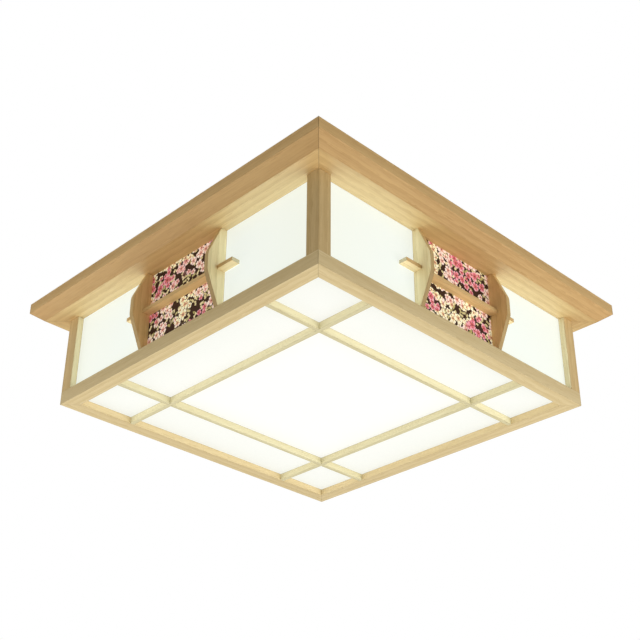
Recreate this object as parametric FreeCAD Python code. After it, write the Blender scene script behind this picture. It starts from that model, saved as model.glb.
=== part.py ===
import FreeCAD, Part
import os

# A square ceiling lamp of pale wood: a mitred eave against the ceiling, four posts with lit panels
# between them, two cheeks and a cross bar on each side, and a lattice frame that pulls down.
# Millimetres. The ceiling is the plane z = 0, the lamp hangs below it, and its front faces -Y.

# Driving dimensions of the box and its eave
box_width = 385.0  # over the outer faces of the posts
side_height = 86.5  # from the eave's underside to the bottom frame
eave_overhang = 32.5  # eave beyond the posts, all round
eave_thickness = 21.0
eave_edge = 11.5  # upright outer edge, above the bevel
bevel_run = 12.5  # width of the bevel under that edge
eave_board = 62.0  # width of each eave board
post_width = 15.0
panel_recess = 7.0  # panel behind the outer faces of the posts
panel_thickness = 3.0
panel_tongue = 3.0  # panel edge let into the posts and the eave

# Driving dimensions of the bottom frame
rail_width = 15.5
rail_height = 14.5
ledge_width = 5.0  # rebate in the rail that carries the diffuser
diffuser_thickness = 2.0
corner_cell = 64.0  # clear width of the lattice's corner cells
lattice_width = 4.4
lattice_height = 7.5
tenon_length = 5.0
tenon_height = 4.0

# Driving dimensions of the ornament on each side
ornament_width = 120.0  # over the two cheeks
cheek_thickness = 5.0
cheek_reach = 14.2  # upright middle of the front edge, beyond the posts
cheek_middle = 20.0  # height of that upright middle
cheek_round = 15.0  # rounding where it meets the sloping runs
bar_depth = 9.2
bar_height = 4.0
bar_stub = 21.0  # bar beyond each cheek
bar_drop = 2.2  # bar's middle below the middle of the side
fabric_thickness = 0.4

# Driving dimensions of the wood joints and the magnetic catch
dowel_diameter = 6.0
dowel_in_post = 14.0
dowel_in_eave = 10.0
spline_thickness = 3.0
spline_length = 24.0  # across the mitre
spline_width = 20.0  # along the mitre
spline_inset = 24.0  # spline's centre from the eave's outer corner, along each edge
magnet_diameter = 6.0
magnet_height = 3.0
corner_arm = 34.0  # each leg of the steel angle across a corner of the bottom frame
corner_plate_inset = 2.0  # from the edges of the rail's top
corner_plate_thickness = 1.0

# Driving dimensions of the ceiling mounting
plate_thickness = 1.0
plate_drop = 4.0  # base plate's top below the ceiling
plate_ledge = 12.0  # rebate in the eave boards that the base plate lies on
strip_length = 124.0
strip_width = 25.0
strip_thickness = 2.0
strip_corner = 6.0
slot_spacing = 60.0
slot_length = 14.0
slot_width = 5.0
stud_spacing = 100.0
stud_diameter = 4.0
stud_head_diameter = 7.0
stud_head_height = 0.8
stud_thread = 5.0  # stud below the base plate
nut_across_flats = 7.0
nut_height = 3.2
nut_crown = 1.6  # wall over the stud's end
cable_bore = 10.0
grommet_wall = 4.0  # rubber between the cable and the base plate
grommet_lip = 3.0  # rubber over the edge of the plate's hole
grommet_lip_height = 1.5
grommet_shift = 34.0  # from the lamp's middle, along the strip

# Driving dimensions of the light source
light_width = 18.0
light_thickness = 1.6
light_margin = 28.0  # from the eave boards to the light bars
light_corner_gap = 8.0  # between the ends of neighbouring light bars
lens_diameter = 13.0
lens_height = 5.0
lens_count = 4
driver_length = 96.0
driver_width = 30.0
driver_height = 22.0
driver_corner = 3.0
ear_length = 9.0
ear_width = 14.0
ear_thickness = 2.0
terminal_length = 34.0
terminal_width = 18.0
terminal_height = 13.0
terminal_poles = 3
terminal_well_diameter = 5.0
terminal_well_depth = 8.0

# Clearances
fit = 0.1  # each side of a tongue, tenon, dowel or stud
slip = 0.3  # ends of tongues and tenons, and pieces that the bottom frame parts from
lay = 0.5  # round the diffuser and the base plate, and over the dowels
overrun = 1.0  # how far a cutting shape passes the face that it opens

# Heights, from the ceiling down
height = eave_thickness + side_height + rail_height
eave_under = -eave_thickness
frame_top = eave_under - side_height
bottom = -height
ledge_top = bottom + lattice_height
plate_top = -plate_drop
plate_under = plate_top - plate_thickness
bar_middle = (eave_under + frame_top) / 2 - bar_drop

# Distances from the lamp's axis
box_half = box_width / 2
eave_half = box_half + eave_overhang
eave_inner = eave_half - eave_board
post_inner = box_half - post_width
panel_outer = box_half - panel_recess
panel_inner = panel_outer - panel_thickness
rail_land = rail_width - ledge_width
rail_inner = box_half - rail_width
post_axis = box_half - rail_land / 2
lattice_place = rail_inner - corner_cell - lattice_width / 2
ornament_half = ornament_width / 2
cheek_inner = ornament_half - cheek_thickness
fabric_face = panel_outer + fabric_thickness
bar_rear = fabric_face + fit
bar_face = bar_rear + bar_depth
plate_half = eave_inner + plate_ledge - lay
light_place = eave_inner - light_margin - light_width / 2
light_half = light_place - light_width / 2 - light_corner_gap
driver_place = (strip_width / 2 + light_place - light_width / 2) / 2
light_under = plate_under - light_thickness

SIDES = {"front": 0, "right": 90, "back": 180, "left": 270}
CORNERS = {"front_right": 0, "back_right": 90, "back_left": 180, "front_left": 270}
V = FreeCAD.Vector
UP = V(0, 0, 1)
ORIGIN = V(0, 0, 0)


def block(x_span, y_span, z_span):
    """A box between two values along each axis."""
    size = [high - low for low, high in (x_span, y_span, z_span)]
    return Part.makeBox(*size, V(x_span[0], y_span[0], z_span[0]))


def span(middle, width):
    """The two ends of a width about its middle."""
    return middle - width / 2, middle + width / 2


def prism(outline, direction):
    """An outline of points, pushed along a direction."""
    return Part.Face(Part.makePolygon(outline + outline[:1])).extrude(direction)


def rod(diameter, x, y, z_span):
    """An upright cylinder."""
    return Part.makeCylinder(diameter / 2, z_span[1] - z_span[0], V(x, y, z_span[0]))


def upright_edges(shape):
    """The edges of a shape that run along Z."""
    return [edge for edge in shape.Edges if edge.BoundBox.ZLength > edge.BoundBox.DiagonalLength / 2]


def turned(shape, angle):
    """A copy turned about the lamp's axis."""
    copy = shape.copy()
    copy.rotate(ORIGIN, UP, angle)
    return copy


def at_both_ends(corner_shape):
    """A front right corner's shape, at that corner and at the front left one."""
    return [corner_shape, turned(corner_shape, CORNERS["front_left"])]


def mitred(stick):
    """The front stick of a square frame, cut at 45 degrees at both ends."""
    reach = 2 * eave_half
    low = bottom - overrun
    quarter = [V(0, 0, low), V(-reach, -reach, low), V(reach, -reach, low)]
    return stick.common(prism(quarter, UP * (height + 2 * overrun)))


def save(name, *solids):
    """Write one piece, or a set of like pieces, to its own file."""
    shape = solids[0] if len(solids) == 1 else Part.makeCompound(list(solids))
    shape.exportStep("parts/%s.step" % name)


def save_round(name, shape, places):
    """Write a like piece for each side or corner, with that place in its name."""
    for place, angle in places.items():
        save(name % place, turned(shape, angle))


# The eave: mitred boards with a bevelled lower edge, keyed by splines


def spline(clearance):
    """A loose tongue across the front right mitre of the eave."""
    place = eave_half - spline_inset
    key = block(span(0, spline_length + 2 * clearance), span(0, spline_width + 2 * clearance),
                span(-eave_edge / 2, spline_thickness))
    key.rotate(ORIGIN, UP, 45)
    key.translate(V(place, -place, 0))
    return key


def panel_slot():
    """The groove for the front panel's top edge."""
    reach = post_inner + panel_tongue
    return block((-reach, reach), (-panel_outer - fit, -panel_inner + fit),
                 (eave_under - overrun, eave_under + panel_tongue))


def post_dowel_hole():
    """The front right post's dowel hole in the eave."""
    return rod(dowel_diameter + 2 * fit, post_axis, -post_axis,
               (eave_under - overrun, eave_under + dowel_in_eave + lay))


def eave_front():
    """A bevelled board, rebated on top for the base plate."""
    shelf = eave_inner + plate_ledge
    profile = [(eave_half, 0), (eave_half, -eave_edge), (eave_half - bevel_run, eave_under),
               (eave_inner, eave_under), (eave_inner, plate_under), (shelf, plate_under), (shelf, 0)]
    outline = [V(-eave_half, -away, z) for away, z in profile]
    board = mitred(prism(outline, V(2 * eave_half, 0, 0)))
    cuts = at_both_ends(spline(fit)) + at_both_ends(post_dowel_hole()) + [panel_slot()]
    return board.cut(cuts)


# The posts: grooved for the panels, pegged into the eave, with a magnet in the foot


def post_front_right():
    """A square post with a groove in each of its two inner faces."""
    post = block((post_inner, box_half), (-box_half, -post_inner), (frame_top, eave_under))
    along = (post_inner - overrun, post_inner + panel_tongue)
    across = (panel_inner - fit, panel_outer + fit)
    tall = (frame_top - overrun, eave_under + overrun)
    front_groove = block(along, (-across[1], -across[0]), tall)
    right_groove = block(across, (-along[1], -along[0]), tall)
    peg_hole = rod(dowel_diameter + 2 * fit, post_axis, -post_axis,
                   (eave_under - dowel_in_post, eave_under + overrun))
    magnet_hole = rod(magnet_diameter + 2 * fit, post_axis, -post_axis,
                      (frame_top - overrun, frame_top + magnet_height))
    return post.cut([front_groove, right_groove, peg_hole, magnet_hole])


def dowel_front_right():
    """The peg between a post and the eave, across the mitre."""
    return rod(dowel_diameter, post_axis, -post_axis,
               (eave_under - dowel_in_post, eave_under + dowel_in_eave))


def magnet_front_right():
    """A disc magnet flush with the foot of a post."""
    return rod(magnet_diameter, post_axis, -post_axis, (frame_top, frame_top + magnet_height))


# The sides: a lit panel, two cheeks, the bar through them and the fabric between them


def side_panel_front():
    """A translucent panel, its edges let into the posts and the eave."""
    reach = post_inner + panel_tongue - slip
    return block((-reach, reach), (-panel_outer, -panel_inner),
                 (frame_top + slip, eave_under + panel_tongue - slip))


def bar_notch():
    """The notch that the bar rests in, from the back edges of both cheeks."""
    reach = ornament_half + overrun
    return block((-reach, reach), (-bar_face - fit, -panel_outer + overrun),
                 (bar_middle - bar_height / 2, bar_middle + bar_height / 2 + fit))


def cheek_front(x):
    """A thin board on edge: straight at the back, its front edge sloping out to an upright middle."""
    foot = frame_top + slip
    crown = -box_half - cheek_reach
    flat = span((foot + eave_under) / 2, cheek_middle)
    profile = [(-panel_outer, foot), (-box_half, foot), (crown, flat[0]), (crown, flat[1]),
               (-box_half, eave_under), (-panel_outer, eave_under)]
    board = prism([V(x, y, z) for y, z in profile], V(cheek_thickness, 0, 0))
    bends = [edge for edge in board.Edges if edge.BoundBox.XLength > fit and edge.BoundBox.YMax < crown + fit]
    return board.makeFillet(cheek_round, bends).cut(bar_notch())


def cross_bar_front():
    """The flat bar that runs through both cheeks and stands out beyond them."""
    reach = ornament_half + bar_stub
    return block((-reach, reach), (-bar_face, -bar_rear), span(bar_middle, bar_height))


def fabric_front():
    """Printed fabric on the front panel, between the cheeks."""
    reach = cheek_inner - slip
    return block((-reach, reach), (-fabric_face, -panel_outer), (frame_top + slip, eave_under))


# The bottom frame: mitred rails, a half-lapped lattice tenoned into them, and the diffuser


def corner_plate(clearance):
    """A flat steel angle across the front right mitre, level with the top of the rails."""
    outer = box_half - corner_plate_inset + clearance
    inner = box_half - rail_land + corner_plate_inset - clearance
    tail = box_half - corner_plate_inset - corner_arm - clearance
    height_span = (frame_top - corner_plate_thickness, frame_top)
    front_leg = block((tail, outer), (-outer, -inner), height_span)
    right_leg = block((inner, outer), (-outer, -tail), height_span)
    return front_leg.fuse(right_leg).removeSplitter()


def tenons(clearance, length):
    """The stub tenons of the front lattice bar, with the stretch between them."""
    reach = rail_inner + length
    return block((-reach, reach), span(-lattice_place, lattice_width + 2 * clearance),
                 span(bottom + lattice_height / 2, tenon_height + 2 * clearance))


def rail_front():
    """A rebated rail with mortises for the two lattice bars that end in it."""
    profile = [(box_half, bottom), (box_half, frame_top), (box_half - rail_land, frame_top),
               (box_half - rail_land, ledge_top), (rail_inner, ledge_top), (rail_inner, bottom)]
    outline = [V(-box_half, -away, z) for away, z in profile]
    rail = mitred(prism(outline, V(2 * box_half, 0, 0)))
    mortises = [turned(tenons(fit, tenon_length + slip), SIDES[side]) for side in ("left", "right")]
    return rail.cut(mortises + at_both_ends(corner_plate(fit)))


def lattice_front(notch_span):
    """A lattice bar with stub tenons, and a half lap at each crossing."""
    bar = block((-rail_inner, rail_inner), span(-lattice_place, lattice_width), (bottom, ledge_top))
    bar = bar.fuse(tenons(0, tenon_length)).removeSplitter()
    crossings = span(0, 2 * lattice_place)
    return bar.cut([block(span(x, lattice_width + 2 * fit), span(-lattice_place, 2 * lattice_width),
                          notch_span) for x in crossings])


def save_lattice():
    """The bars along X are notched above, and the bars along Y below."""
    half_way = bottom + lattice_height / 2
    notched_above = lattice_front((half_way, ledge_top + overrun))
    notched_below = lattice_front((bottom - overrun, half_way))
    for side, angle in SIDES.items():
        bar = notched_above if side in ("front", "back") else notched_below
        save("lattice_%s" % side, turned(bar, angle))


def diffuser():
    """The sheet that lies on the rails' ledges and on the lattice."""
    reach = box_half - rail_land - lay
    return block((-reach, reach), (-reach, reach), (ledge_top, ledge_top + diffuser_thickness))


# The ceiling mounting: a slotted strip, studs and cap nuts, and the base plate that they carry


def stud_places():
    """Where the two studs hang from the strip."""
    return span(0, stud_spacing)


def slot(x):
    """A round-ended slot for a ceiling screw."""
    straight = slot_length - slot_width
    tall = (-strip_thickness - overrun, overrun)
    middle = block(span(x, straight), span(0, slot_width), tall)
    ends = [rod(slot_width, end, 0, tall) for end in span(x, straight)]
    return middle.fuse(ends).removeSplitter()


def mounting_strip():
    """A flat steel strip against the ceiling, with slots for its screws and seats for the studs."""
    strip = block(span(0, strip_length), span(0, strip_width), (-strip_thickness, 0))
    rounded = strip.makeFillet(strip_corner, upright_edges(strip))
    cuts = [slot(x) for x in span(0, slot_spacing)]
    for x in stud_places():
        cuts.append(rod(stud_head_diameter + 2 * fit, x, 0, (-stud_head_height, overrun)))
        cuts.append(rod(stud_diameter + 2 * fit, x, 0, (-strip_thickness - overrun, 0)))
    return rounded.cut(cuts)


def mounting_stud(x):
    """A flush-headed stud that hangs from the strip."""
    head = rod(stud_head_diameter, x, 0, (-stud_head_height, 0))
    shank = rod(stud_diameter, x, 0, (plate_under - stud_thread, 0))
    return head.fuse(shank).removeSplitter()


def cap_nut(x):
    """A hexagon nut with a closed crown, under the base plate."""
    corner = Part.Vertex(nut_across_flats / 3**0.5, 0, plate_under)
    points = [turned(corner, 60 * step).Point for step in range(6)]
    hexagon = prism(points, V(0, 0, -nut_height))
    bore_depth = stud_thread + slip
    cap = rod(nut_across_flats, 0, 0, (plate_under - bore_depth - nut_crown, plate_under - nut_height))
    bore = rod(stud_diameter + 2 * fit, 0, 0, (plate_under - bore_depth, plate_under + overrun))
    nut = hexagon.fuse(cap).cut(bore).removeSplitter()
    nut.translate(V(x, 0, 0))
    return nut


def grommet_place():
    """The cable inlet, beside the strip."""
    return -grommet_shift, driver_place


def plate_hole_diameter():
    """The hole in the base plate that holds the grommet."""
    return cable_bore + 2 * grommet_wall


def cable_grommet():
    """A rubber ring that grips the edge of the plate's hole."""
    x, y = grommet_place()
    lips = (plate_under - grommet_lip_height, plate_top + grommet_lip_height)
    lip_diameter = plate_hole_diameter() + 2 * grommet_lip
    ring = rod(plate_hole_diameter(), x, y, lips)
    upper = rod(lip_diameter, x, y, (plate_top, lips[1]))
    lower = rod(lip_diameter, x, y, (lips[0], plate_under))
    bore = rod(cable_bore, x, y, (lips[0] - overrun, lips[1] + overrun))
    return ring.fuse([upper, lower]).removeSplitter().cut(bore)


def base_plate():
    """A sheet-steel plate on the eave's ledges that carries the light source."""
    through = (plate_under - overrun, plate_top + overrun)
    plate = block((-plate_half, plate_half), (-plate_half, plate_half), (plate_under, plate_top))
    holes = [rod(stud_diameter + 2 * slip, x, 0, through) for x in stud_places()]
    holes.append(rod(plate_hole_diameter() + 2 * fit, *grommet_place(), through))
    return plate.cut(holes)


# The light source: four bars with lenses round the plate, the driver and the terminal block


def light_bar_front():
    """A circuit board on an aluminium strip, flat against the base plate."""
    return block((-light_half, light_half), span(-light_place, light_width), (light_under, plate_under))


def lens(x, y):
    """A lens that stands on a light bar."""
    return rod(lens_diameter, x, y, (light_under - lens_height, light_under))


def lenses_front():
    """An even row of lenses along the front light bar."""
    pitch = 2 * light_half / (lens_count + 1)
    first = -light_half + pitch
    return [lens(first + pitch * number, -light_place) for number in range(lens_count)]


def led_driver():
    """A closed driver case with a fixing ear at each end."""
    case = block(span(0, driver_length), span(-driver_place, driver_width),
                 (plate_under - driver_height, plate_under))
    case = case.makeFillet(driver_corner, upright_edges(case))
    ears = block(span(0, driver_length + 2 * ear_length), span(-driver_place, ear_width),
                 (plate_under - ear_thickness, plate_under))
    return case.fuse(ears).removeSplitter()


def terminal_block():
    """A row of screw terminals beside the cable inlet."""
    body = block((0, terminal_length), span(driver_place, terminal_width),
                 (plate_under - terminal_height, plate_under))
    pitch = terminal_length / terminal_poles
    deep = (plate_under - terminal_height - overrun, plate_under - terminal_height + terminal_well_depth)
    return body.cut([rod(terminal_well_diameter, pitch * (number + 0.5), driver_place, deep)
                     for number in range(terminal_poles)])


os.makedirs("parts", exist_ok=True)

save_round("eave_%s", eave_front(), SIDES)
save("mitre_splines", *[turned(spline(0), angle) for angle in CORNERS.values()])
save_round("post_%s", post_front_right(), CORNERS)
save("post_dowels", *[turned(dowel_front_right(), angle) for angle in CORNERS.values()])
save("magnets", *[turned(magnet_front_right(), angle) for angle in CORNERS.values()])

save_round("side_panel_%s", side_panel_front(), SIDES)
save_round("cheek_%s_left", cheek_front(-ornament_half), SIDES)
save_round("cheek_%s_right", cheek_front(cheek_inner), SIDES)
save_round("cross_bar_%s", cross_bar_front(), SIDES)
save_round("fabric_%s", fabric_front(), SIDES)

save_round("rail_%s", rail_front(), SIDES)
save_lattice()
save("diffuser", diffuser())
save("corner_plates", *[turned(corner_plate(0), angle) for angle in CORNERS.values()])

save("mounting_strip", mounting_strip())
save("mounting_studs", *[mounting_stud(x) for x in stud_places()])
save("cap_nuts", *[cap_nut(x) for x in stud_places()])
save("base_plate", base_plate())
save("cable_grommet", cable_grommet())

save_round("light_bar_%s", light_bar_front(), SIDES)
save("lenses", *[turned(cap, angle) for angle in SIDES.values() for cap in lenses_front()])
save("led_driver", led_driver())
save("terminal_block", terminal_block())
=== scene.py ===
import math

import bmesh
import bpy
from mathutils import Matrix, Quaternion, Vector


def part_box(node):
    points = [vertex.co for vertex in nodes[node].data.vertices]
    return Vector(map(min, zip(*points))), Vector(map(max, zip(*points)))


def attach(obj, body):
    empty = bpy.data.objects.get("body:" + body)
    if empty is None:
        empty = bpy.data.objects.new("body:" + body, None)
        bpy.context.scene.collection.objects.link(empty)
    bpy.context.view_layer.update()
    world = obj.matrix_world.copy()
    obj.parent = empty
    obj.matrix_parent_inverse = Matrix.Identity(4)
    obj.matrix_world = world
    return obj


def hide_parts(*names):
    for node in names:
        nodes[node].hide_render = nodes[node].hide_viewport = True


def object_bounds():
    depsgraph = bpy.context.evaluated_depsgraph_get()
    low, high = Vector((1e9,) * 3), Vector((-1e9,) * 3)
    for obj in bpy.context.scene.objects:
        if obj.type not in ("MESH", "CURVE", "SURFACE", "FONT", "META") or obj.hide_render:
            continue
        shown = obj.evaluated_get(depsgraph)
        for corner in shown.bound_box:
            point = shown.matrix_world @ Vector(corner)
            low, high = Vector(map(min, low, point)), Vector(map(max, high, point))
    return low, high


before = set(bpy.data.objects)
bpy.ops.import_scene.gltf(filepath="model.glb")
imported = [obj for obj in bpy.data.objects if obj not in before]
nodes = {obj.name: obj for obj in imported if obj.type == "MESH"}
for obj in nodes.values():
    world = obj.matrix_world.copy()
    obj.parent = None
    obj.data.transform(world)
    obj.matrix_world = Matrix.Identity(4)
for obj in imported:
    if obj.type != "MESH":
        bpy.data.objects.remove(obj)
cad_low, cad_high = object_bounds()

# Lengths are in metres, in the frame of the solids: the ceiling is at z = 0 and the front faces -Y.

MM = 0.001
SIDES = ("front", "right", "back", "left")
CORNERS = ("front_right", "back_right", "back_left", "front_left")
ALONG_X = ("front", "back")
X, Y, Z = range(3)
LOW, HIGH = range(2)  # the corners of a box that the frame gives
UPWARD, DOWNWARD = 1, -1  # headings of turned forms
QUARTER = math.pi / 2
FRONT = Vector((0.0, -1.0, 0.0))
DOWN = Vector((0.0, 0.0, -1.0))

# The camera, fitted to the photograph; angles are in radians

camera_lens = 66.71  # millimetres
camera_away = 1.1150  # from the lamp's axis, level
camera_below = 0.6679  # below the ceiling
camera_azimuth = 0.7944
camera_pan = 0.0007
camera_pitch = 0.5271
camera_roll = 0.0063

# Light and backdrop

ambient_light = 0.262
backdrop_light = 1.0
sky_strength = 2.19
sky_spread = 0.6  # radians
sky_tint = (1.0, 0.975, 0.93)
left_power = 2.28
right_power = 6.2
left_place = (-0.66, -0.60, -0.42)
right_place = (0.98, 0.50, -0.62)
left_width = 0.5
right_width = 0.8
panel_light = (0.85, 1.43, 2.02)  # the lit sheets' own cold light on what is round them
diffuser_light = (0.46, 0.46, 0.46)
glow_gap = 0.4 * MM  # between a lit sheet and the lamp in front of it
floor_drop = 2.2
floor_width = 14.0

# Sizes of the small pieces that only the looks need

seam_width = 0.7 * MM  # of the darker line to each side of a mitre
seam_core = 0.3 * seam_width  # where that line is darkest
arris_width = 0.8 * MM  # of the darker line along an edge
cloth_edge = 0.7 * MM  # rounding of the cloth's edge
edge_thread = cloth_edge / 3  # drawn within that rounding
cloth_gap = 0.03 * MM  # between the cloth and the cheeks
cloth_rim = 0.2 * MM  # thickness at the very edge
cloth_step = 2.0 * MM
cloth_pucker = 0.05 * MM
pucker_turns = (0.9, 0.7)  # radians to the millimetre, across and up
print_shift = (0.81, 0.47)  # from one cloth to the next, so that no two are cut alike
screw_head = 6.0 * MM
screw_rise = 1.8 * MM
board_screw_apart = 180.0 * MM
board_screw_inset = 6.0 * MM  # from the edge of the base plate
light_screw_inset = 6.0 * MM  # from the end of a light bar
ear_screw_inset = 4.5 * MM  # from the end of the driver's ear
ear_thickness = 2.0 * MM
lens_count = 4
lens_foot = 0.2  # of the lens's rise
nut_sides = 6
nut_height = 3.2 * MM  # of the hexagon
nut_chamfers = (0.3 * MM, 0.4 * MM)  # against the plate and under the cap
nut_ends = (0.94, 0.9)  # of the hexagon's width, at its two ends
cap_width = 0.94  # of the nut's width across flats
cap_foot = 0.8 * MM
cap_sunk = 0.1 * MM  # into the hexagon
terminal_poles = 3
terminal_screw = 4.4 * MM
terminal_well = 8.0 * MM
round_steps = 40
head_steps = 5
dome_steps = 8
sharp_angle = math.radians(38)


# Node helpers

WHOLE = (0.0, 1.0)
FALLING = (1.0, 0.0)
MIX_SHARE, MIX_FIRST, MIX_SECOND, MIX_RESULT = 0, 6, 7, 2  # a Mix node's sockets for colours
bevel_samples = 4


def plug(tree, socket, value):
    """Link a socket, or set it to a constant."""
    if isinstance(value, bpy.types.NodeSocket):
        tree.links.new(value, socket)
    else:
        socket.default_value = value


def add(tree, kind, inputs=None, **settings):
    """A shader node with its settings and inputs."""
    made = tree.nodes.new("ShaderNode" + kind)
    for key, value in settings.items():
        setattr(made, key, value)
    for key, value in (inputs or {}).items():
        plug(tree, made.inputs[key], value)
    return made


def calc(tree, operation, first, second=0.0):
    """One step of arithmetic."""
    return add(tree, "Math", {0: first, 1: second}, operation=operation).outputs[0]


def vector(tree, operation, first, second):
    """One step of arithmetic on vectors."""
    return add(tree, "VectorMath", {0: first, 1: second}, operation=operation).outputs["Vector"]


def axes(tree, source):
    """The three parts of a vector."""
    return add(tree, "SeparateXYZ", {0: source}).outputs


def total(tree, *pairs):
    """The sum of values, each times its share."""
    parts = [calc(tree, "MULTIPLY", value, share) for value, share in pairs]
    result = parts[0]
    for part in parts[1:]:
        result = calc(tree, "ADD", result, part)
    return result


def remap(tree, value, span, to=WHOLE):
    """A clamped linear map from one span of values to another."""
    inputs = {"Value": value, "From Min": span[0], "From Max": span[1], "To Min": to[0], "To Max": to[1]}
    return add(tree, "MapRange", inputs).outputs[0]


def mix(tree, share, first, second, blend="MIX"):
    """Two colours mixed."""
    inputs = {MIX_SHARE: share, MIX_FIRST: first, MIX_SECOND: second}
    return add(tree, "Mix", inputs, data_type="RGBA", blend_type=blend).outputs[MIX_RESULT]


def mark(tree, tone, mask, strength, colour):
    """A tone with a faint mark of another colour on it."""
    return mix(tree, calc(tree, "MULTIPLY", mask, strength), tone, colour)


def rgb(red, green, blue):
    """An opaque colour."""
    return red, green, blue, 1.0


def shaded(colour, share):
    """A colour made lighter or darker."""
    return rgb(*(share * part for part in colour[:3]))


def noise(tree, place, scale, detail=3.0, rough=0.55):
    """A soft noise value."""
    inputs = {"Vector": place, "Scale": scale, "Detail": detail, "Roughness": rough}
    return add(tree, "TexNoise", inputs).outputs[0]


def fresh(name, roughness=0.5):
    """A new material, its tree and its main shader."""
    made = bpy.data.materials.new(name)
    made.use_nodes = True
    shader = made.node_tree.nodes["Principled BSDF"]
    shader.inputs["Roughness"].default_value = roughness
    return made, made.node_tree, shader


def stretched(along, share):
    """The scales of a pattern that is drawn out along one axis."""
    scales = [1.0, 1.0, 1.0]
    scales[along] = share
    return scales


def object_place(tree, scale=(1.0, 1.0, 1.0), shift=(0.0, 0.0, 0.0)):
    """Object coordinates, scaled and shifted."""
    source = add(tree, "TexCoord").outputs["Object"]
    return add(tree, "Mapping", {"Vector": source, "Location": shift, "Scale": scale}).outputs[0]


def surface_normal(tree):
    """The direction that the surface faces."""
    return add(tree, "NewGeometry").outputs["Normal"]


def rounded_normal(tree, radius):
    """The direction that the surface would face if its edges were rounded."""
    return add(tree, "Bevel", {"Radius": radius}, samples=bevel_samples).outputs[0]


def rough_bump(tree, shader, height, depth, strength, soften=0.0):
    """Bump from a height value, on edges that are rounded in the shading if soften is given."""
    inputs = {"Height": height, "Distance": depth, "Strength": strength}
    if soften:
        inputs["Normal"] = rounded_normal(tree, soften)
    plug(tree, shader.inputs["Normal"], add(tree, "Bump", inputs).outputs[0])


def dress(name, material):
    """Give a node of the frame its material."""
    for place in nodes[name].material_slots:
        place.material = material


def about(point, step):
    """A point turned about the lamp's axis by quarter turns."""
    return Matrix.Rotation(QUARTER * step, 3, "Z") @ point


# Wood: one material for each board, with its fibres along the board

EAVE_TONES = rgb(0.639, 0.435, 0.19), rgb(0.465, 0.29, 0.109)  # pale and deep, as in the next rows
POST_TONES = rgb(0.648, 0.489, 0.247), rgb(0.468, 0.323, 0.138)
RAIL_TONES = rgb(0.73, 0.60, 0.35), rgb(0.565, 0.435, 0.217)
# the lattice is the same wood as the rails: its tones are the wood's own, made paler and yellower by
# painted light from the diffuser's glare
LATTICE_TONES_AND_PAINTED_LIGHT = rgb(0.725, 0.68, 0.45), rgb(0.58, 0.51, 0.292)
CHEEK_TONES = rgb(0.798, 0.594, 0.284), rgb(0.596, 0.408, 0.169)
BAR_TONES = rgb(0.798, 0.566, 0.27), rgb(0.596, 0.389, 0.161)
JOINT_TONES = rgb(0.72, 0.56, 0.33), rgb(0.54, 0.39, 0.19)
# partly the boards' own variation, partly painted shade: the boards by the front-right corner darker,
# those farther off on the front and right lighter
board_tones_and_painted_shade = (1.07, 0.94)  # of neighbouring posts and cheeks
END_SHADE = rgb(0.72, 0.77, 0.84)  # of faces across the fibres
# painted shade: the eave's leaning faces are darkened for the light they get
BEVEL_PAINTED_SHADE = rgb(0.92, 0.86, 0.83)  # of the eave's leaning faces
# painted shade on the cheeks' front edges that face down or level
CHEEK_EDGE_PAINTED_SHADE = rgb(0.62, 0.6, 0.59)  # of the cheeks' narrow faces that don't look up
pore_shade = 0.45
line_shade = 0.5  # of the lines along edges and mitres
pore_strength = 0.16
arris_strength = 0.16  # of the line along an edge
eave_seam = 0.5  # strength of the line along a mitre
rail_seam = 0.3
RINGS = {"Scale": 46.0, "Distortion": 5.0, "Detail": 3.0, "Detail Scale": 18.0, "Detail Roughness": 0.6}
FIBRES = {"scale": 900.0, "detail": 4.0, "rough": 0.65}
STREAKS = {"scale": 210.0}
BANDS = {"scale": 26.0, "detail": 2.0}
PORES = {"scale": 1500.0, "detail": 2.0}
grain_shares = (0.34, 0.24, 0.26, 0.30)  # of rings, fibres, streaks and bands
grain_stretch = 0.045  # of the pattern along the fibres
pattern_step = (0.173, 0.311, 0.097)  # from one board's place in the pattern to the next
# Each kind's first place in the pattern
PATTERNS = {"eave": 0, "rail": 4, "lattice": 8, "cross_bar": 12,
            "cheek_right": 16, "cheek_left": 20, "post": 24, "joint": 30}
# Values at which a pattern starts and stops changing
grain_span = (0.30, 0.86)
pore_span = (0.60, 0.70)
arris_span = (0.75, 0.99)
end_span = (0.85, 0.95)
lean_span = (0.08, 0.20)
narrow_span = (0.3, 0.6)
upward_span = (-0.3, 0.4)
fibre_span = (0.3, 0.7)
wood_roughness = (0.48, 0.66)
wood_specular = 0.25
WOOD_RELIEF = {"depth": 0.08 * MM, "strength": 0.45, "soften": 0.5 * MM}


def mitre_line(tree):
    """Nearness to the upright planes through the lamp's corners, where mitred boards meet."""
    parts = axes(tree, object_place(tree))
    first = calc(tree, "ABSOLUTE", parts[X])
    second = calc(tree, "ABSOLUTE", parts[Y])
    apart = calc(tree, "ABSOLUTE", calc(tree, "SUBTRACT", first, second))
    return remap(tree, apart, (seam_core, seam_width), FALLING)


def arris_line(tree):
    """Nearness to an outer edge of the piece, from how far a rounded edge would turn the surface."""
    inputs = {0: rounded_normal(tree, arris_width), 1: surface_normal(tree)}
    match = add(tree, "VectorMath", inputs, operation="DOT_PRODUCT").outputs["Value"]
    return remap(tree, match, arris_span, FALLING)


def end_grain(tree, along):
    """The faces that cut across the fibres."""
    facing = calc(tree, "ABSOLUTE", axes(tree, surface_normal(tree))[along])
    return remap(tree, facing, end_span)


def leaning(tree):
    """The faces that are neither upright nor level, where shade is painted on the eave."""
    upward = axes(tree, surface_normal(tree))[Z]
    level = calc(tree, "MULTIPLY", upward, upward)
    lean = calc(tree, "MULTIPLY", level, calc(tree, "SUBTRACT", 1.0, level))
    return remap(tree, lean, lean_span)


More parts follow.
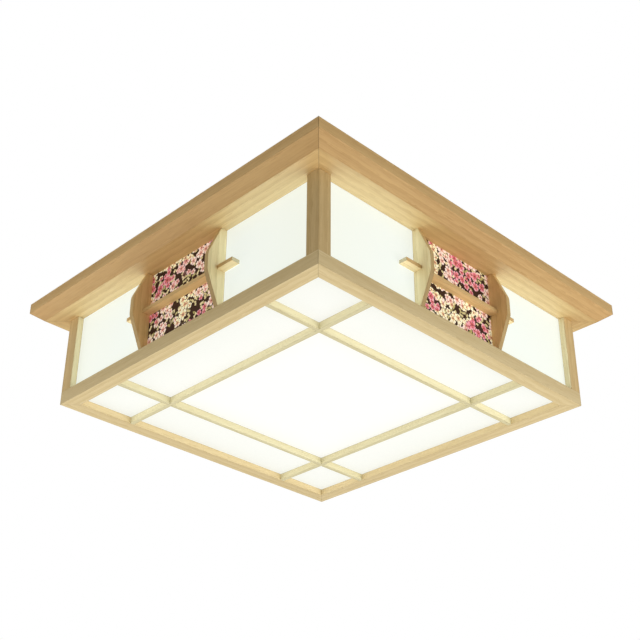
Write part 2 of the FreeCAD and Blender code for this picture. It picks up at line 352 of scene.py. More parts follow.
def narrow(tree, thin):
    """Where shade is painted on a board that is thin along one axis: its narrow faces, fading where they
    turn upward.
    """
    parts = axes(tree, surface_normal(tree))
    across = remap(tree, calc(tree, "ABSOLUTE", parts[thin]), narrow_span, FALLING)
    return calc(tree, "MULTIPLY", across, remap(tree, parts[Z], upward_span, FALLING))


def wood(name, along, number, pale, deep, shade=1.0, seam=0.0, bevelled=False, thin=None):
    """Straight-grained pale wood with its fibres along one axis, darker lines along its edges, and, where
    asked, painted shade on its leaning faces or on a thin board's narrow faces.
    """
    made, tree, shader = fresh(name)
    shift = [step * (number + axis + 1) for axis, step in enumerate(pattern_step)]
    place = object_place(tree, stretched(along, grain_stretch), shift)
    rings = add(tree, "TexWave", {"Vector": place, **RINGS}, wave_type="RINGS",
                rings_direction="XYZ"[along], wave_profile="SAW").outputs["Fac"]
    fibres = noise(tree, place, **FIBRES)
    streaks = noise(tree, place, **STREAKS)
    bands = noise(tree, place, **BANDS)
    pores = remap(tree, noise(tree, place, **PORES), pore_span)
    grain = total(tree, *zip((rings, fibres, streaks, bands), grain_shares))
    tone = mix(tree, remap(tree, grain, grain_span), shaded(pale, shade), shaded(deep, shade))
    dark = shaded(deep, line_shade * shade)
    tone = mark(tree, tone, pores, pore_strength, shaded(deep, pore_shade * shade))
    tone = mark(tree, tone, arris_line(tree), arris_strength, dark)
    tone = mix(tree, end_grain(tree, along), tone, END_SHADE, "MULTIPLY")
    # painted shade on the leaning faces
    if bevelled:
        tone = mix(tree, leaning(tree), tone, BEVEL_PAINTED_SHADE, "MULTIPLY")
    # painted shade on the narrow faces that face down or level
    if thin is not None:
        tone = mix(tree, narrow(tree, thin), tone, CHEEK_EDGE_PAINTED_SHADE, "MULTIPLY")
    if seam:
        tone = mark(tree, tone, mitre_line(tree), seam, dark)
    plug(tree, shader.inputs["Base Color"], tone)
    plug(tree, shader.inputs["Roughness"], remap(tree, fibres, fibre_span, wood_roughness))
    shader.inputs["Specular IOR Level"].default_value = wood_specular
    rough_bump(tree, shader, calc(tree, "SUBTRACT", fibres, pores), **WOOD_RELIEF)
    return made


def dress_side_boards(kind, tones, **finish):
    """Wood for the boards of one kind that run along the four sides."""
    for count, side in enumerate(SIDES):
        lengthwise = X if side in ALONG_X else Y
        board = wood("%s_grain_%s" % (kind, side), lengthwise, PATTERNS[kind] + count, *tones, **finish)
        dress("%s_%s" % (kind, side), board)


def dress_cheeks():
    """Wood for the upright cheeks, lighter and darker in turn (partly painted shade), with painted shade
    on the front edges that face down or level.
    """
    for count, side in enumerate(SIDES):
        thin = X if side in ALONG_X else Y
        for turn, hand in enumerate(("left", "right")):
            shade = board_tones_and_painted_shade[(count + turn) % len(board_tones_and_painted_shade)]
            number = PATTERNS["cheek_" + hand] + count
            board = wood("cheek_grain_%s_%s" % (side, hand), Z, number, *CHEEK_TONES, shade, thin=thin)
            dress("cheek_%s_%s" % (side, hand), board)


def dress_posts():
    """Wood for the upright posts, darker and lighter in turn: partly their own variation, partly painted
    shade.
    """
    for count, corner in enumerate(CORNERS):
        shade = board_tones_and_painted_shade[(count + 1) % len(board_tones_and_painted_shade)]
        board = wood("post_grain_" + corner, Z, PATTERNS["post"] + count, *POST_TONES, shade)
        dress("post_" + corner, board)


def dress_joints():
    """Wood for the tongues and dowels inside the joints."""
    joint_wood = wood("joint_grain", Z, PATTERNS["joint"], *JOINT_TONES)
    for name in ("mitre_splines", "post_dowels"):
        dress(name, joint_wood)


dress_side_boards("eave", EAVE_TONES, seam=eave_seam, bevelled=True)
dress_side_boards("rail", RAIL_TONES, seam=rail_seam)
dress_side_boards("lattice", LATTICE_TONES_AND_PAINTED_LIGHT)
dress_side_boards("cross_bar", BAR_TONES)
dress_cheeks()
dress_posts()
dress_joints()

# The lit sheets

PANEL_GLOW = rgb(0.93, 1.0, 0.95), rgb(0.94, 0.985, 0.89)  # in the middle and at the edge
DIFFUSER_GLOW = rgb(1.0, 1.0, 0.985), rgb(0.88, 0.905, 0.86)
FIBRE_GLOW = rgb(0.80, 0.80, 0.70)
SHEET_TONES = rgb(0.20, 0.20, 0.18), rgb(0.26, 0.26, 0.24)
SHEET_FIBRES = {"scale": 420.0, "detail": 5.0, "rough": 0.7}
SHEET_CLOUD = {"scale": 30.0, "detail": 2.0}
SHEET_RELIEF = {"depth": 0.03 * MM, "strength": 0.3}
sheet_glow = 0.76
sheet_roughness = 0.55
cloud_share = 0.08  # by which the edge's tint wanders
edge_span = (0.45, 1.04)
sheet_fibre_span = (0.35, 0.75)
sheet_fibre_share = (0.0, 0.05)


def glowing(name, tint, edge_tint, middle, reach):
    """A backlit translucent sheet with faint fibres and another tint towards its edges."""
    made, tree, shader = fresh(name, sheet_roughness)
    place = object_place(tree)
    fibres = noise(tree, place, **SHEET_FIBRES)
    cloud = noise(tree, place, **SHEET_CLOUD)
    away = vector(tree, "DIVIDE", vector(tree, "SUBTRACT", place, middle), reach)
    parts = [calc(tree, "ABSOLUTE", part) for part in axes(tree, away)]
    far = calc(tree, "MAXIMUM", calc(tree, "MAXIMUM", parts[X], parts[Y]), parts[Z])
    far = calc(tree, "ADD", far, calc(tree, "MULTIPLY", cloud, cloud_share))
    glow = mix(tree, remap(tree, far, edge_span), tint, edge_tint)
    glow = mix(tree, remap(tree, fibres, sheet_fibre_span, sheet_fibre_share), glow, FIBRE_GLOW)
    plug(tree, shader.inputs["Base Color"], mix(tree, fibres, *SHEET_TONES))
    plug(tree, shader.inputs["Emission Color"], glow)
    shader.inputs["Emission Strength"].default_value = sheet_glow
    rough_bump(tree, shader, fibres, **SHEET_RELIEF)
    return made


def light_up(node, name, tints, thin):
    """Make a sheet of the frame glow; along its thin axis the tint doesn't change."""
    low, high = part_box(node)
    reach = (high - low) / 2
    reach[thin] = 1.0
    dress(node, glowing(name, *tints, (low + high) / 2, reach))


for side in SIDES:
    light_up("side_panel_" + side, "panel_glow_" + side, PANEL_GLOW, Y if side in ALONG_X else X)
light_up("diffuser", "diffuser_glow", DIFFUSER_GLOW, Z)

# Metal and plastic inside the lamp

ZINC = rgb(0.57, 0.575, 0.575)
NICKEL = rgb(0.74, 0.73, 0.70)
BRASS = rgb(0.68, 0.50, 0.22)
POWDER_COAT = rgb(0.84, 0.84, 0.82)
RUBBER = rgb(0.028, 0.028, 0.028)
DRIVER_CASE = rgb(0.74, 0.75, 0.75)
TERMINAL_CASE = rgb(0.78, 0.75, 0.67)
MASK_TONES = rgb(0.86, 0.86, 0.83), rgb(0.74, 0.73, 0.66)
MASK_SPECK = rgb(0.6, 0.58, 0.5)
LENS_TONES = rgb(0.58, 0.58, 0.55), rgb(0.66, 0.66, 0.63)
LENS_GLOW = rgb(1.0, 0.93, 0.78), rgb(1.0, 0.97, 0.88)
DRAWN_LINES = {"scale": 2600.0}
METAL_CLOUD = {"scale": 120.0, "detail": 4.0}
METAL_WEAR = {"dull": 0.80, "fine_share": 0.65, "gloss": (-0.08, 0.14)}
METAL_RELIEF = {"depth": 0.02 * MM, "strength": 0.4, "soften": 0.25 * MM}
SKIN_CLOUD = {"scale": 45.0}
SKIN_WEAR = {"dull": 0.90, "fine_share": 0.7, "gloss": (-0.06, 0.1)}
SKIN_RELIEF = {"strength": 0.4, "soften": 0.3 * MM}
TRACKS = {"Scale": 60.0, "Mortar Size": 0.012}
SPECKS = {"scale": 700.0}
FROST = {"scale": 800.0}
MASK_RELIEF = {"depth": 0.05 * MM, "strength": 0.4}
FROST_RELIEF = {"depth": 0.03 * MM, "strength": 0.3}
drawn_stretch = 0.02  # of the drawn lines along themselves
wear_span = (0.35, 0.65)
gloss_span = (0.3, 0.7)
speck_span = (0.62, 0.7)
speck_share = (0.0, 0.2)
mask_roughness = 0.36
lens_roughness = 0.28
lens_glow = 0.35


def worn(tree, shader, base, fine, cloud, roughness, dull, fine_share, gloss):
    """Slight changes of tone and gloss, from a fine and a cloudy pattern."""
    wear = total(tree, (cloud, 1 - fine_share), (fine, fine_share))
    tone = mix(tree, remap(tree, wear, wear_span), base, shaded(base, dull))
    plug(tree, shader.inputs["Base Color"], tone)
    limits = [roughness + part for part in gloss]
    plug(tree, shader.inputs["Roughness"], remap(tree, fine, gloss_span, limits))


def plated(name, base, drawn_along, roughness):
    """Plated metal with fine drawn lines and a cloudy finish."""
    made, tree, shader = fresh(name, roughness)
    lines = noise(tree, object_place(tree, stretched(drawn_along, drawn_stretch)), **DRAWN_LINES)
    cloud = noise(tree, object_place(tree), **METAL_CLOUD)
    worn(tree, shader, base, lines, cloud, roughness, **METAL_WEAR)
    shader.inputs["Metallic"].default_value = 1.0
    rough_bump(tree, shader, lines, **METAL_RELIEF)
    return made


def moulded(name, base, grain_scale, roughness, depth=0.03 * MM):
    """Moulded plastic, rubber or powder coat: a fine skin with slight changes of tone."""
    made, tree, shader = fresh(name, roughness)
    place = object_place(tree)
    grain = noise(tree, place, grain_scale)
    cloud = noise(tree, place, **SKIN_CLOUD)
    worn(tree, shader, base, grain, cloud, roughness, **SKIN_WEAR)
    rough_bump(tree, shader, grain, depth, **SKIN_RELIEF)
    return made


def circuit_board():
    """White solder mask with the faint relief of copper tracks under it."""
    made, tree, shader = fresh("light_board_mask", mask_roughness)
    place = object_place(tree)
    tracks = add(tree, "TexBrick", {"Vector": place, **TRACKS}).outputs["Fac"]
    specks = noise(tree, place, **SPECKS)
    tone = mix(tree, tracks, *MASK_TONES)
    tone = mix(tree, remap(tree, specks, speck_span, speck_share), tone, MASK_SPECK)
    plug(tree, shader.inputs["Base Color"], tone)
    rough_bump(tree, shader, calc(tree, "ADD", tracks, specks), **MASK_RELIEF)
    return made


def lens_plastic():
    """Frosted clear plastic over a warm light."""
    made, tree, shader = fresh("frosted_lens", lens_roughness)
    frost = noise(tree, object_place(tree), **FROST)
    plug(tree, shader.inputs["Base Color"], mix(tree, frost, *LENS_TONES))
    plug(tree, shader.inputs["Emission Color"], mix(tree, frost, *LENS_GLOW))
    shader.inputs["Emission Strength"].default_value = lens_glow
    rough_bump(tree, shader, frost, **FROST_RELIEF)
    return made


steel = plated("zinc_steel", ZINC, X, roughness=0.34)
nickel = plated("nickel_plate", NICKEL, Z, roughness=0.2)
brass = plated("terminal_brass", BRASS, Z, roughness=0.3)
white_coat = moulded("white_powder_coat", POWDER_COAT, grain_scale=900.0, roughness=0.46)
rubber = moulded("grommet_rubber", RUBBER, grain_scale=600.0, roughness=0.62, depth=0.05 * MM)
driver_plastic = moulded("driver_plastic", DRIVER_CASE, grain_scale=1100.0, roughness=0.48)
terminal_plastic = moulded("terminal_plastic", TERMINAL_CASE, grain_scale=900.0, roughness=0.42)
board_mask = circuit_board()
frosted = lens_plastic()
for name in ("mounting_strip", "mounting_studs", "corner_plates"):
    dress(name, steel)
for side in SIDES:
    dress("light_bar_" + side, board_mask)
dress("base_plate", white_coat)
dress("magnets", nickel)
dress("cable_grommet", rubber)
dress("led_driver", driver_plastic)
dress("terminal_block", terminal_plastic)

# Mesh helpers


def finish_mesh(name, bm, material, body):
    """Turn a mesh into a smooth piece that rides on a body."""
    bmesh.ops.recalc_face_normals(bm, faces=bm.faces)
    mesh = bpy.data.meshes.new(name)
    bm.to_mesh(mesh)
    bm.free()
    for face in mesh.polygons:
        face.use_smooth = True
    mesh.materials.append(material)
    piece = bpy.data.objects.new(name, mesh)
    bpy.context.scene.collection.objects.link(piece)
    mesh.set_sharp_from_angle(angle=sharp_angle)
    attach(piece, body)
    return piece


def ring(bm, centre, radius, rise, count):
    """A level ring of points about an upright axis."""
    points = []
    for step in range(count):
        turn = 2 * math.pi * step / count
        arm = Vector((radius * math.cos(turn), radius * math.sin(turn), rise))
        points.append(bm.verts.new(centre + arm))
    return points


def lathe(bm, profile, centre, heading, count=round_steps):
    """A form turned from (radius, rise) pairs, closed at its foot; a small count gives it flat sides."""
    rows = [ring(bm, centre, radius, heading * rise, count) for radius, rise in profile]
    for lower, upper in zip(rows, rows[1:]):
        for step in range(count):
            after = (step + 1) % count
            bm.faces.new((lower[step], lower[after], upper[after], upper[step]))
    bm.faces.new(rows[0])
    return rows[-1]


# The printed cloth: blossoms of two sizes and leaves on a dark ground; scales are places to the metre

GROUND = rgb(0.016, 0.007, 0.004), rgb(0.060, 0.026, 0.014)
LEAF = rgb(0.40, 0.34, 0.12), rgb(0.80, 0.68, 0.40)
ROSE = rgb(0.56, 0.060, 0.13), rgb(0.90, 0.26, 0.34)
BLUSH = rgb(0.88, 0.51, 0.43), rgb(0.98, 0.83, 0.72)
CREAM = rgb(0.90, 0.76, 0.38), rgb(0.98, 0.93, 0.66)
PETAL_FOOT = rgb(0.62, 0.32, 0.30)
PETAL_TIP = rgb(1.0, 0.94, 0.90)
PETAL_LINE = rgb(0.10, 0.025, 0.02)
STAMEN = rgb(0.85, 0.62, 0.30)
HEART = rgb(0.16, 0.035, 0.03)
# painted shade in the gaps between the threads
THREAD_GAP_PAINTED_SHADE = rgb(0.05, 0.03, 0.02)
BLOSSOMS = (132.0, 3.9 * MM, 0.46), (96.0, 5.8 * MM, 0.34)  # scale, radius, share left out
BLOSSOM_TONES = {"scale": 400.0, "detail": 2.0}
GROUND_TONES = {"scale": 300.0}
WANDER = {"Scale": 190.0, "Detail": 2.0}
wander_reach = 1.6 * MM
noise_middle = (0.5, 0.5, 0.5)
FAMILIES = {"Scale": 40.0, "Randomness": 1.0}  # patches of blossoms of one colour
scatter_spread = 0.8
pick_edge = 0.01
blush_span = (0.30, 0.31)
cream_span = (0.66, 0.68)
blossom_shift = (0.37, 0.53, 0.0)  # from one size's pattern to the next
blossom_sizes = (0.82, 1.08)
print_edge = (0.95, 1.03)
petals = 5
petal_power = 0.6  # less is rounder
petal_depth = 0.42  # of the blossom's radius
notch_span = (0.965, 1.0)  # at the tip of a petal
notch_depth = (0.0, 0.13)
foot_span = (0.20, 0.60)  # of the blossom's radius, as in the next rows
tip_span = (0.60, 0.90)
line_start = (0.25, 0.45)
stamen_start = (0.30, 0.36)
stamen_end = (0.44, 0.50)
heart_span = (0.13, 0.21)
tip_share = (0.0, 0.8)  # how strongly each shows, from the start to the end of its span
tip_strength = 0.5
line_span = (0.16, 0.42)
line_share = (0.9, 0.0)
stamen_span = (0.80, 0.92)
stamen_share = (0.0, 0.8)
heart_share = (0.85, 0.0)
leaf_scale = 210.0
leaf_reach = 3.4 * MM
leaf_power = 2.0
leaf_depth = 0.75  # of the leaf's reach
leaf_edge = (0.94, 1.04)
leaf_pick = (0.52, 0.53)
THREADS = {"Scale": 640.0}
thread_span = (0.0, 0.5)
thread_share = (0.07, 0.0)
CLOTH_RELIEF = {"depth": 0.06 * MM, "strength": 0.5}
cloth_roughness = 0.85
cloth_glow = 0.38  # of the light that comes through
cloth_specular = 0.15


def flat_cells(tree, place, settings):
    """A pattern of irregular cells in a plane."""
    inputs = {"Vector": place, **settings}
    return add(tree, "TexVoronoi", inputs, voronoi_dimensions="2D", feature="F1").outputs


def random_parts(tree, cells):
    """Three random values of each cell."""
    return add(tree, "SeparateColor", {0: cells["Color"]}).outputs


def scatter(tree, place, scale):
    """The distance and angle from the nearest of many scattered points, and that point's random values."""
    cells = flat_cells(tree, place, {"Scale": scale, "Randomness": scatter_spread})
    spot = vector(tree, "SUBTRACT", place, cells["Position"])
    parts = axes(tree, spot)
    pick = random_parts(tree, cells)
    turn = calc(tree, "MULTIPLY", pick["Blue"], 2 * math.pi)
    angle = calc(tree, "ADD", calc(tree, "ARCTAN2", parts[Y], parts[X]), turn)
    length = add(tree, "VectorMath", {0: spot}, operation="LENGTH").outputs["Value"]
    return length, angle, pick


def lobes(tree, angle, turns):
    """A wave round a point, from 0 between lobes to 1 along them."""
    return calc(tree, "ABSOLUTE", calc(tree, "COSINE", calc(tree, "MULTIPLY", angle, turns)))


def lobed_reach(tree, lobe, power, depth):
    """How far a lobed outline reaches, from 1 - depth between lobes to 1 along them."""
    return calc(tree, "ADD", calc(tree, "MULTIPLY", calc(tree, "POWER", lobe, power), depth), 1 - depth)


def blossom(tree, place, scale, radius, tint):
    """Five-petalled blossoms: their cover and colour, with lines between the petals and a dark heart."""
    length, angle, pick = scatter(tree, place, scale)
    lobe = lobes(tree, angle, petals / 2)
    reach = lobed_reach(tree, lobe, petal_power, petal_depth)
    reach = calc(tree, "SUBTRACT", reach, remap(tree, lobe, notch_span, notch_depth))
    size = calc(tree, "MULTIPLY", remap(tree, pick["Green"], WHOLE, blossom_sizes), radius)
    out = calc(tree, "DIVIDE", length, calc(tree, "MULTIPLY", reach, size))
    foot = mix(tree, 1.0, tint, PETAL_FOOT, "MULTIPLY")
    tip = mix(tree, tip_strength, tint, PETAL_TIP)
    tone = mix(tree, remap(tree, out, foot_span), foot, tint)
    tone = mix(tree, remap(tree, out, tip_span, tip_share), tone, tip)
    line = remap(tree, lobe, line_span, line_share)
    tone = mark(tree, tone, line, remap(tree, out, line_start), PETAL_LINE)
    dots = remap(tree, lobes(tree, angle, petals), stamen_span, stamen_share)
    band = calc(tree, "MULTIPLY", remap(tree, out, stamen_start), remap(tree, out, stamen_end, FALLING))
    tone = mark(tree, tone, band, dots, STAMEN)
    tone = mix(tree, remap(tree, out, heart_span, heart_share), tone, HEART)
    return remap(tree, out, print_edge, FALLING), tone, pick


def leaf(tree, place):
    """Small leaves: their cover and their colour."""
    length, angle, pick = scatter(tree, place, leaf_scale)
    reach = lobed_reach(tree, lobes(tree, angle, 1.0), leaf_power, leaf_depth)
    out = calc(tree, "DIVIDE", length, calc(tree, "MULTIPLY", reach, leaf_reach))
    chosen = remap(tree, pick["Green"], leaf_pick)
    cover = calc(tree, "MULTIPLY", remap(tree, out, leaf_edge, FALLING), chosen)
    return cover, mix(tree, pick["Red"], *LEAF)


def blossom_tint(tree, place, choice):
    """Rose, blush or cream, by patches."""
    shade = noise(tree, place, **BLOSSOM_TONES)
    tint = mix(tree, remap(tree, choice, blush_span), mix(tree, shade, *ROSE), mix(tree, shade, *BLUSH))
    return mix(tree, remap(tree, choice, cream_span), tint, mix(tree, shade, *CREAM))


def plain_weave(tree, place):
    """The height of a plain weave."""
    warp = add(tree, "TexWave", {"Vector": place, **THREADS}, bands_direction="X").outputs["Fac"]
    weft = add(tree, "TexWave", {"Vector": place, **THREADS}, bands_direction="Y").outputs["Fac"]
    return calc(tree, "MULTIPLY", warp, weft)


def printed_cloth():
    """Cotton with a dense print on a dark brown ground and a plain weave, lit a little from behind."""
    made, tree, shader = fresh("printed_cloth", cloth_roughness)
    source = add(tree, "TexCoord").outputs["UV"]
    wander = add(tree, "TexNoise", {"Vector": source, **WANDER}).outputs["Color"]
    wander = vector(tree, "SUBTRACT", wander, noise_middle)
    wander = vector(tree, "MULTIPLY", wander, (wander_reach, wander_reach, wander_reach))
    place = vector(tree, "ADD", source, wander)
    choice = random_parts(tree, flat_cells(tree, place, FAMILIES))["Red"]
    tone = mix(tree, noise(tree, source, **GROUND_TONES), *GROUND)
    cover, green = leaf(tree, place)
    tone = mix(tree, cover, tone, green)
    for number, (scale, radius, left_out) in enumerate(BLOSSOMS):
        shifted = vector(tree, "ADD", place, [part * number for part in blossom_shift])
        tint = blossom_tint(tree, shifted, choice)
        cover, bloom, pick = blossom(tree, shifted, scale, radius, tint)
        kept = remap(tree, pick["Red"], (left_out, left_out + pick_edge))
        tone = mark(tree, tone, cover, kept, bloom)
    weave = plain_weave(tree, source)
    # painted shade in the gaps between the threads
    tone = mix(tree, remap(tree, weave, thread_span, thread_share), tone, THREAD_GAP_PAINTED_SHADE)
    plug(tree, shader.inputs["Base Color"], tone)
    plug(tree, shader.inputs["Emission Color"], tone)
    shader.inputs["Emission Strength"].default_value = cloth_glow
    shader.inputs["Specular IOR Level"].default_value = cloth_specular
    rough_bump(tree, shader, weave, **CLOTH_RELIEF)
    return made


def cloth_lines(low, high):
    """Places of the threads that are drawn, from edge to edge, closer together at the edges."""
    count = round((high - low - 2 * cloth_edge) / cloth_step)
    inner = [low + cloth_edge + (high - low - 2 * cloth_edge) * k / count for k in range(count + 1)]
    return [low, low + edge_thread] + inner + [high - edge_thread, high]


def rim_keys(last_i, last_j):
    """The grid places round the edge of a cloth, in order."""
    there = [(i, 0) for i in range(last_i)] + [(last_i, j) for j in range(last_j)]
    return there + [(i, last_j) for i in range(last_i, 0, -1)] + [(0, j) for j in range(last_j, 0, -1)]


def cloth_lift(x, z, low, high, step):
    """How far the cloth's face stands off the panel: rounded at the edges and slightly puckered."""
    inset = min(x - low.x, high.x - x, z - low.z, high.z - z)
    rounding = min(inset / cloth_edge, 1.0)
    lift = cloth_rim + (high.y - low.y - cloth_rim) * math.sqrt(1 - (1 - rounding) ** 2)
    wave = math.sin(x / MM * pucker_turns[0]) * math.sin(z / MM * pucker_turns[1] + step)
    return lift - cloth_pucker * (1 + wave) * rounding


def cloth_piece(side, step, cotton):
    """A thin stretched cloth with rounded edges, flat on the panel behind it."""
    low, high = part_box("fabric_front")
    low.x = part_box("cheek_front_left")[HIGH].x + cloth_gap
    high.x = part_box("cheek_front_right")[LOW].x - cloth_gap
    back = high.y
    across = cloth_lines(low.x, high.x)
    upward = cloth_lines(low.z, high.z)
    shift_across, shift_up = (part * (step + 1) for part in print_shift)
    bm = bmesh.new()
    chart = bm.loops.layers.uv.new("print")
    front = {}
    for i, x in enumerate(across):
        for j, z in enumerate(upward):
            y = back - cloth_lift(x, z, low, high, step)
            front[i, j] = bm.verts.new(about(Vector((x, y, z)), step))
    for i in range(len(across) - 1):
        for j in range(len(upward) - 1):
            keys = ((i, j), (i + 1, j), (i + 1, j + 1), (i, j + 1))
            face = bm.faces.new([front[key] for key in keys])
            for loop, (a, b) in zip(face.loops, keys):
                loop[chart].uv = (across[a] - low.x + shift_across, upward[b] - low.z + shift_up)
    keys = rim_keys(len(across) - 1, len(upward) - 1)
    rim = [front[key] for key in keys]
    foot = [bm.verts.new(about(Vector((across[i], back, upward[j])), step)) for i, j in keys]
    for k in range(len(keys)):
        bm.faces.new((rim[k], rim[k - 1], foot[k - 1], foot[k]))
    bm.faces.new(foot)
    piece = finish_mesh("cloth_" + side, bm, cotton, "lamp_body")
    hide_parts("fabric_" + side)


cotton = printed_cloth()
for step, side in enumerate(SIDES):
    cloth_piece(side, step, cotton)

# Domed lenses and cap nuts, in the places that the frame gives


def dome(bm, radius, foot, rise, centre):
    """A short upright foot with a dome under it, which ends in a small flat."""
    profile = [(radius, 0.0), (radius, foot)]
    for step in range(1, dome_steps + 1):
        turn = QUARTER * step / (dome_steps + 0.5)
        profile.append((radius * math.cos(turn), foot + (rise - foot) * math.sin(turn)))
    bm.faces.new(lathe(bm, profile, centre, DOWNWARD))


def lens_domes():
    """A domed lens over each light of the light bars."""
    bar_low, bar_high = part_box("light_bar_front")
    lens_low, lens_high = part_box("lenses")
    rise = lens_high.z - lens_low.z
    middle = (bar_low.y + bar_high.y) / 2
    pitch = (bar_high.x - bar_low.x) / (lens_count + 1)
    bm = bmesh.new()
    for step in range(len(SIDES)):
        for number in range(lens_count):
            spot = Vector((bar_low.x + pitch * (number + 1), middle, bar_low.z))
            dome(bm, middle - lens_low.y, lens_foot * rise, rise, about(spot, step))
    domes = finish_mesh("lens_domes", bm, frosted, "lamp_body")
    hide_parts("lenses")


def domed_nuts():
    """A chamfered hexagon with a domed cap on each stud."""
    nut_low, nut_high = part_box("cap_nuts")
    stud_low, stud_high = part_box("mounting_studs")
    flats = nut_high.y - nut_low.y
    corner = flats / 2 / math.cos(math.pi / nut_sides)
    stud_head = stud_high.y - stud_low.y
    cap_rise = nut_high.z - nut_low.z - nut_height
    profile = [(nut_ends[0] * corner, 0.0), (corner, nut_chamfers[0]),
               (corner, nut_height - nut_chamfers[1]), (nut_ends[1] * corner, nut_height)]
    bm = bmesh.new()
    for x in (stud_low.x + stud_head / 2, stud_high.x - stud_head / 2):
        spot = Vector((x, 0.0, nut_high.z))
        bm.faces.new(lathe(bm, profile, spot, DOWNWARD, nut_sides))
        dome(bm, cap_width * flats / 2, cap_foot, cap_rise, spot + DOWN * (nut_height - cap_sunk))
    nuts = finish_mesh("domed_nuts", bm, steel, "lamp_body")
    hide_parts("cap_nuts")


lens_domes()
domed_nuts()

# Small screws, with sizes as shares of the head's radius or rise

shoulder_share = 0.3
upright_share = 0.5
cross_reach = 0.42
cross_width = 0.2
cross_depth = 0.5
cross_arms = 4


def close_with_cross(bm, rim, centre, reach, width, depth, heading):
    """Close a turned form with a flat face that has a cross-shaped recess."""
    half = width / 2
    outline = []
    for step in range(cross_arms):
        turn = Matrix.Rotation(QUARTER * step, 2)
        outline += [turn @ Vector(point) for point in ((half, half), (half, reach), (-half, reach))]
    top = rim[0].co.z
    mouth = [bm.verts.new((centre.x + x, centre.y + y, top)) for x, y in outline]
    floor = [bm.verts.new((centre.x + x, centre.y + y, top - heading * depth)) for x, y in outline]
    edges = [bm.edges.get((rim[i], rim[i - 1])) for i in range(len(rim))]
    edges += [bm.edges.new((mouth[i - 1], mouth[i])) for i in range(len(mouth))]
    bmesh.ops.triangle_fill(bm, edges=edges, use_beauty=True)
    for i in range(len(mouth)):
        bm.faces.new((mouth[i - 1], mouth[i], floor[i], floor[i - 1]))
    bm.faces.new(floor)


def pan_head(bm, centre, heading, diameter):
    """A pan head with a rounded shoulder and a cross recess."""
    radius = diameter / 2
    shoulder = shoulder_share * radius
    upright = upright_share * screw_rise
    profile = [(radius, 0.0), (radius, upright)]
    for step in range(1, head_steps + 1):
        turn = QUARTER * step / head_steps
        height = upright + (screw_rise - upright) * math.sin(turn)
        profile.append((radius - shoulder * (1 - math.cos(turn)), height))
    rim = lathe(bm, profile, centre, heading)
    close_with_cross(bm, rim, centre, cross_reach * radius, cross_width * radius,
                     cross_depth * screw_rise, heading)


def plate_screws():
    """Two screws on each side, which hold the base plate to the eave."""
    plate_low, plate_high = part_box("base_plate")
    bm = bmesh.new()
    for step in range(len(SIDES)):
        for x in (-board_screw_apart / 2, board_screw_apart / 2):
            spot = Vector((x, plate_low.y + board_screw_inset, plate_high.z))
            pan_head(bm, about(spot, step), UPWARD, screw_head)
    finish_mesh("plate_screws", bm, steel, "lamp_body")


def light_screws():
    """A screw at each end of the light bars and in each ear of the driver."""
    bar_low, bar_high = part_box("light_bar_front")
    driver_low, driver_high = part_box("led_driver")
    bm = bmesh.new()
    for step in range(len(SIDES)):
        for x in (bar_low.x + light_screw_inset, bar_high.x - light_screw_inset):
            spot = Vector((x, (bar_low.y + bar_high.y) / 2, bar_low.z))
            pan_head(bm, about(spot, step), DOWNWARD, screw_head)
    for x in (driver_low.x + ear_screw_inset, driver_high.x - ear_screw_inset):
        spot = Vector((x, (driver_low.y + driver_high.y) / 2, driver_high.z - ear_thickness))
        pan_head(bm, spot, DOWNWARD, screw_head)
    finish_mesh("light_screws", bm, steel, "lamp_body")


def terminal_screws():
    """A screw in each well of the terminal block."""
    block_low, block_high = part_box("terminal_block")
    pole = (block_high.x - block_low.x) / terminal_poles
    middle = (block_low.y + block_high.y) / 2
    bm = bmesh.new()
    for number in range(terminal_poles):
        spot = Vector((block_low.x + pole * (number + 0.5), middle, block_low.z + terminal_well))
        pan_head(bm, spot, DOWNWARD, terminal_screw)
    finish_mesh("terminal_screws", bm, brass, "lamp_body")


plate_screws()
light_screws()
terminal_screws()

# Floor and backdrop

FLOOR_TONES = rgb(0.86, 0.86, 0.85), rgb(0.90, 0.90, 0.89)
FLOOR_MOTTLE = {"scale": 3.0, "detail": 4.0}
AMBIENT_TINT = rgb(1.0, 0.94, 0.82)
WHITE = rgb(1.0, 1.0, 1.0)
floor_roughness = 0.8


def stage_material():
    """A plain pale floor with a very faint mottle."""
    made, tree, shader = fresh("pale_floor", floor_roughness)
    mottle = noise(tree, object_place(tree), **FLOOR_MOTTLE)
    plug(tree, shader.inputs["Base Color"], mix(tree, mottle, *FLOOR_TONES))
    return made


def pale_floor():
    """A wide level square under the lamp."""
    half = floor_width / 2
    bm = bmesh.new()
    corners = [(-half, -half), (half, -half), (half, half), (-half, half)]
    bm.faces.new([bm.verts.new((x, y, -floor_drop)) for x, y in corners])
    mesh = bpy.data.meshes.new("floor")
    bm.to_mesh(mesh)
    bm.free()
    mesh.materials.append(stage_material())
    floor = bpy.data.objects.new("floor", mesh)
    bpy.context.scene.collection.objects.link(floor)


def backdrop():
    """A white background, also in reflections, and a dimmer warm light on the object."""
    world = bpy.data.worlds.new("studio")
    bpy.context.scene.world = world
    world.use_nodes = True
    tree = world.node_tree
    rays = add(tree, "LightPath")
    seen = calc(tree, "MAXIMUM", rays.outputs["Is Camera Ray"], rays.outputs["Is Glossy Ray"])
    seen = calc(tree, "MAXIMUM", seen, rays.outputs["Is Transmission Ray"])
    background = tree.nodes["Background"]
    plug(tree, background.inputs["Color"], mix(tree, seen, AMBIENT_TINT, WHITE))
    plug(tree, background.inputs["Strength"], remap(tree, seen, WHOLE, (ambient_light, backdrop_light)))


pale_floor()
backdrop()

# Light


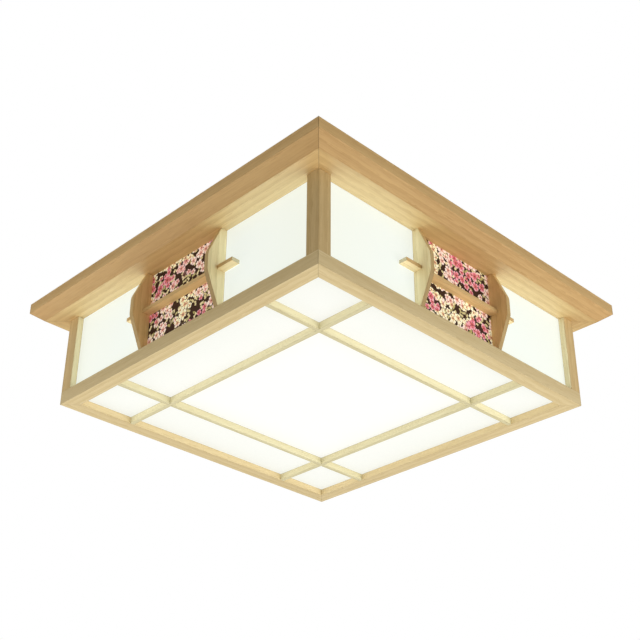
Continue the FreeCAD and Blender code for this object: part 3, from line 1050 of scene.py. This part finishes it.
def flat_lamp(name, shape, place, facing, power):
    """A flat lamp that the camera doesn't see."""
    data = bpy.data.lights.new(name, "AREA")
    data.shape = shape
    data.energy = power
    lamp = bpy.data.objects.new(name, data)
    lamp.location = place
    lamp.rotation_mode = "QUATERNION"
    lamp.rotation_quaternion = facing.to_track_quat("-Z", "Y")
    lamp.visible_camera = False
    bpy.context.scene.collection.objects.link(lamp)
    return lamp


def soft_light(name, place, width, power):
    """A large soft lamp that faces the object."""
    aim = (cad_low + cad_high) / 2
    lamp = flat_lamp(name, "DISK", place, aim - place, power)
    lamp.data.size = width


def sky_light():
    """Wide soft light from straight above, which the floor throws back."""
    sky = bpy.data.lights.new("sky", "SUN")
    sky.energy = sky_strength
    sky.angle = sky_spread
    sky.color = sky_tint
    bpy.context.scene.collection.objects.link(bpy.data.objects.new("sky", sky))


def glow_light(name, place, facing, width, tall, light, body):
    """The light that a lit sheet gives off, as a flat lamp just in front of it."""
    level = max(light)
    lamp = flat_lamp(name, "RECTANGLE", place + facing * glow_gap, facing, level * math.pi * width * tall)
    lamp.data.size = width
    lamp.data.size_y = tall
    lamp.data.color = [part / level for part in light]
    lamp.visible_glossy = False
    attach(lamp, body)


def panel_lights():
    """The light of each panel's two open bays, between the cheeks and the posts."""
    post_low, post_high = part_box("post_front_right")
    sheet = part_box("side_panel_front")[LOW].y
    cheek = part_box("cheek_front_right")[HIGH].x
    bay = post_low.x - cheek
    bay_middle = (post_low.x + cheek) / 2
    tall = post_high.z - post_low.z
    for step, side in enumerate(SIDES):
        facing = about(FRONT, step)
        for number, x in ((1, -bay_middle), (3, bay_middle)):
            spot = Vector((x, sheet, (post_low.z + post_high.z) / 2))
            name = "panel_light_%s_%d" % (side, number)
            glow_light(name, about(spot, step), facing, bay, tall, panel_light, "lamp_body")


def diffuser_glow():
    """The light of the diffuser inside the bottom frame."""
    window = -2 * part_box("rail_front")[HIGH].y
    spot = Vector((0.0, 0.0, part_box("diffuser")[LOW].z))
    glow_light("diffuser_light", spot, DOWN, window, window, diffuser_light, "bottom_frame")


soft_light("side_left", Vector(left_place), left_width, left_power)
soft_light("side_right", Vector(right_place), right_width, right_power)
sky_light()
panel_lights()
diffuser_glow()

# Camera

data = bpy.data.cameras.new("camera")
data.lens = camera_lens
camera = bpy.data.objects.new("camera", data)
camera.location = (camera_away * math.sin(camera_azimuth),
                   -camera_away * math.cos(camera_azimuth), -camera_below)
heading = camera_azimuth + camera_pan
forward = Vector((-math.sin(heading) * math.cos(camera_pitch),
                  math.cos(heading) * math.cos(camera_pitch), math.sin(camera_pitch)))
camera.rotation_mode = "QUATERNION"
camera.rotation_quaternion = forward.to_track_quat("-Z", "Y") @ Quaternion((0.0, 0.0, 1.0), camera_roll)
bpy.context.scene.collection.objects.link(camera)
bpy.context.scene.camera = camera
bpy.context.scene.view_settings.view_transform = "Standard"
